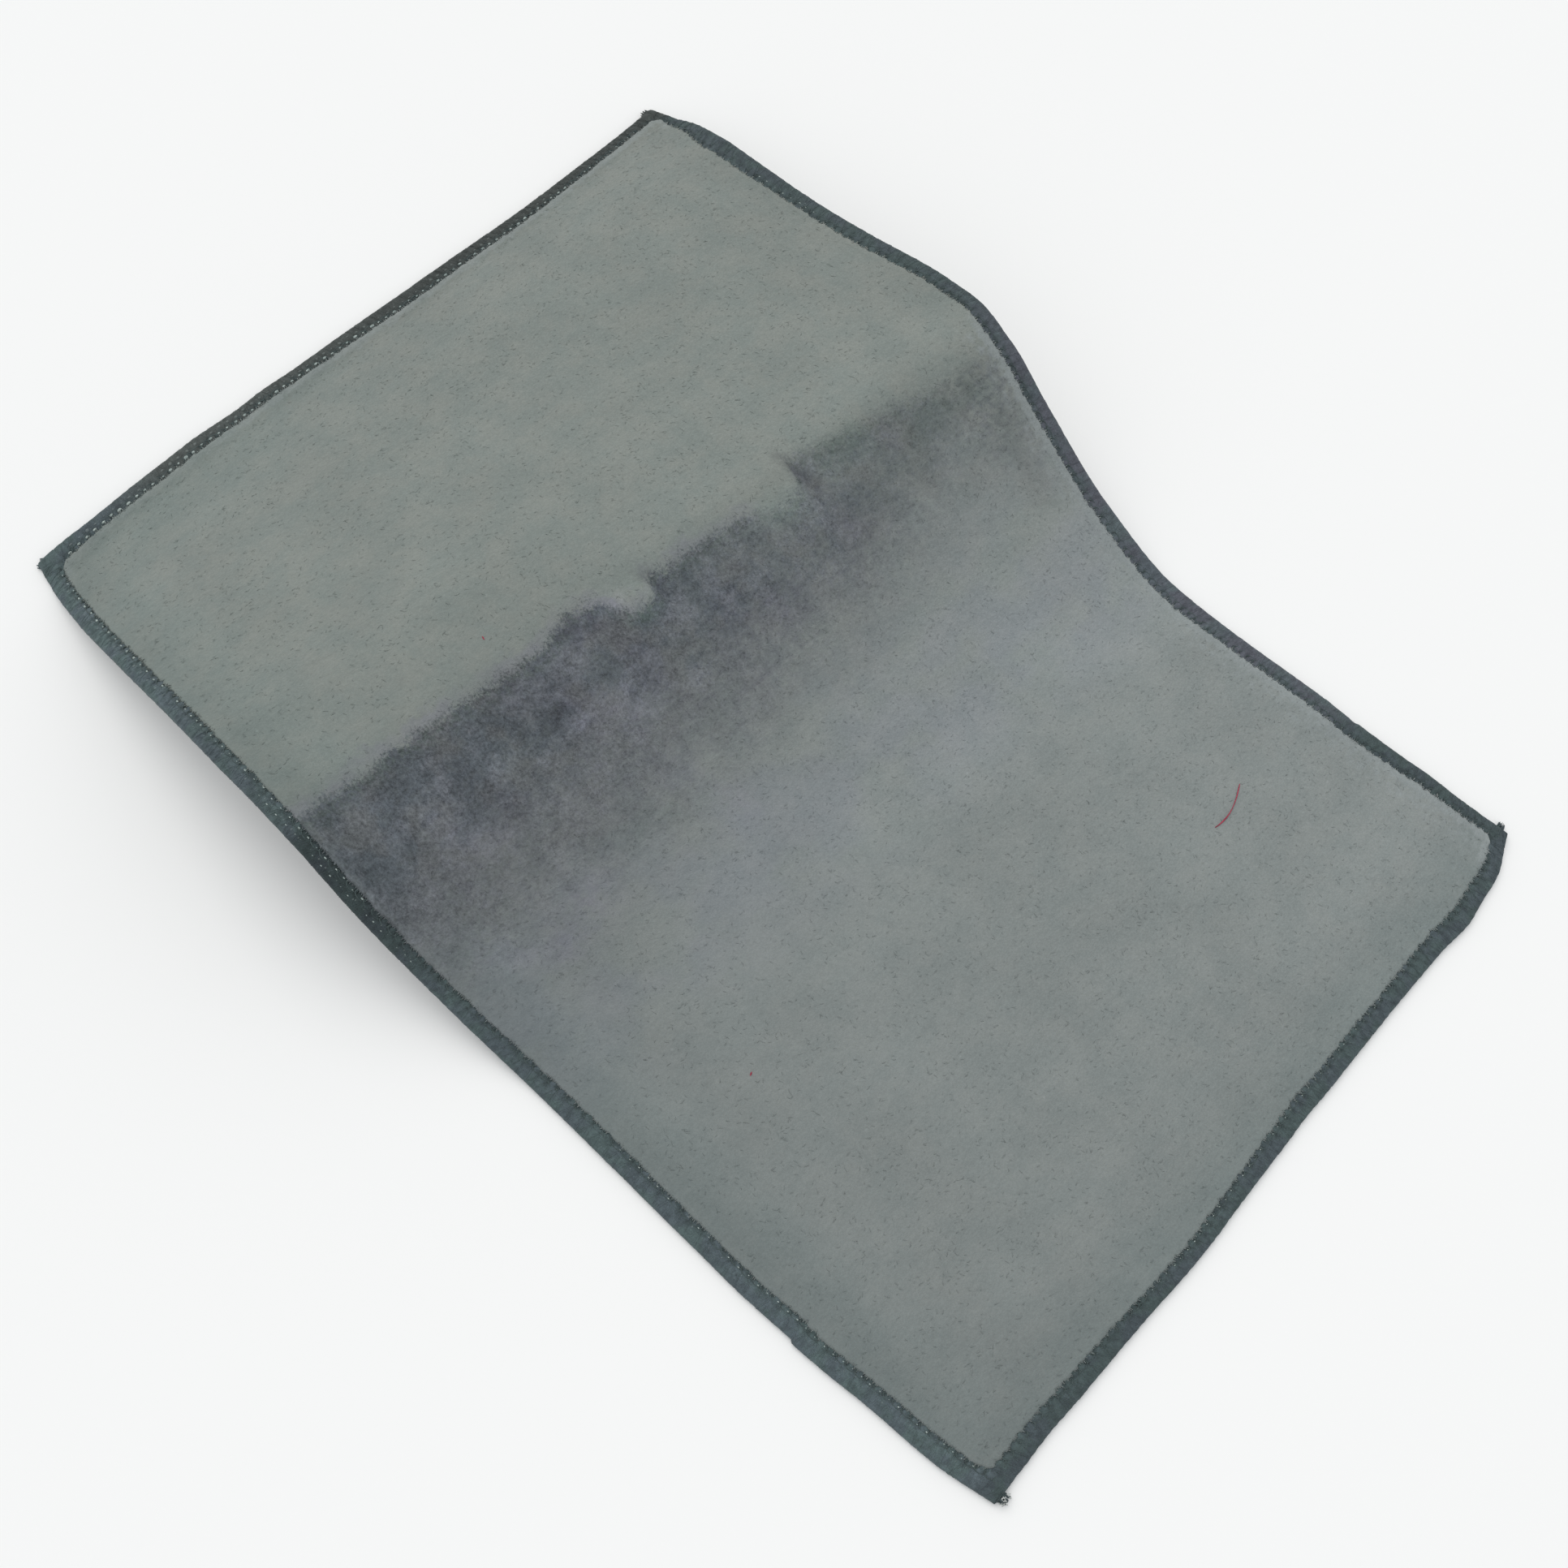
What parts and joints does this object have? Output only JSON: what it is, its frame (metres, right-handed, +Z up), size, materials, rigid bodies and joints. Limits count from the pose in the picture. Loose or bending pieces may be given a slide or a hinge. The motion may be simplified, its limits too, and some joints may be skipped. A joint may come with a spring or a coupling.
{
  "type": "gym towel",
  "caption": "Small short-pile gym towel with a dark overlocked edging, lying with one soft hump across its width.",
  "frame": {"origin": "centre of the bounding box at its bottom, on the surface the towel lies on", "axes": "+Z up, +Y along the towel from its near short side, which lies flat, over the hump to its far short side, +X across it"},
  "size_m": [0.3136, 0.452, 0.0496],
  "materials": {
    "cloth": "short brushed pile, matt, grey-green",
    "edging": "textured overlock yarn, matt, dark teal-grey"
  },
  "bodies": {
    "root": {"cloth": "cloth", "edging_left": "edging", "edging_right": "edging", "edging_near": "edging", "edging_far": "edging"}
  },
  "joints": []
}
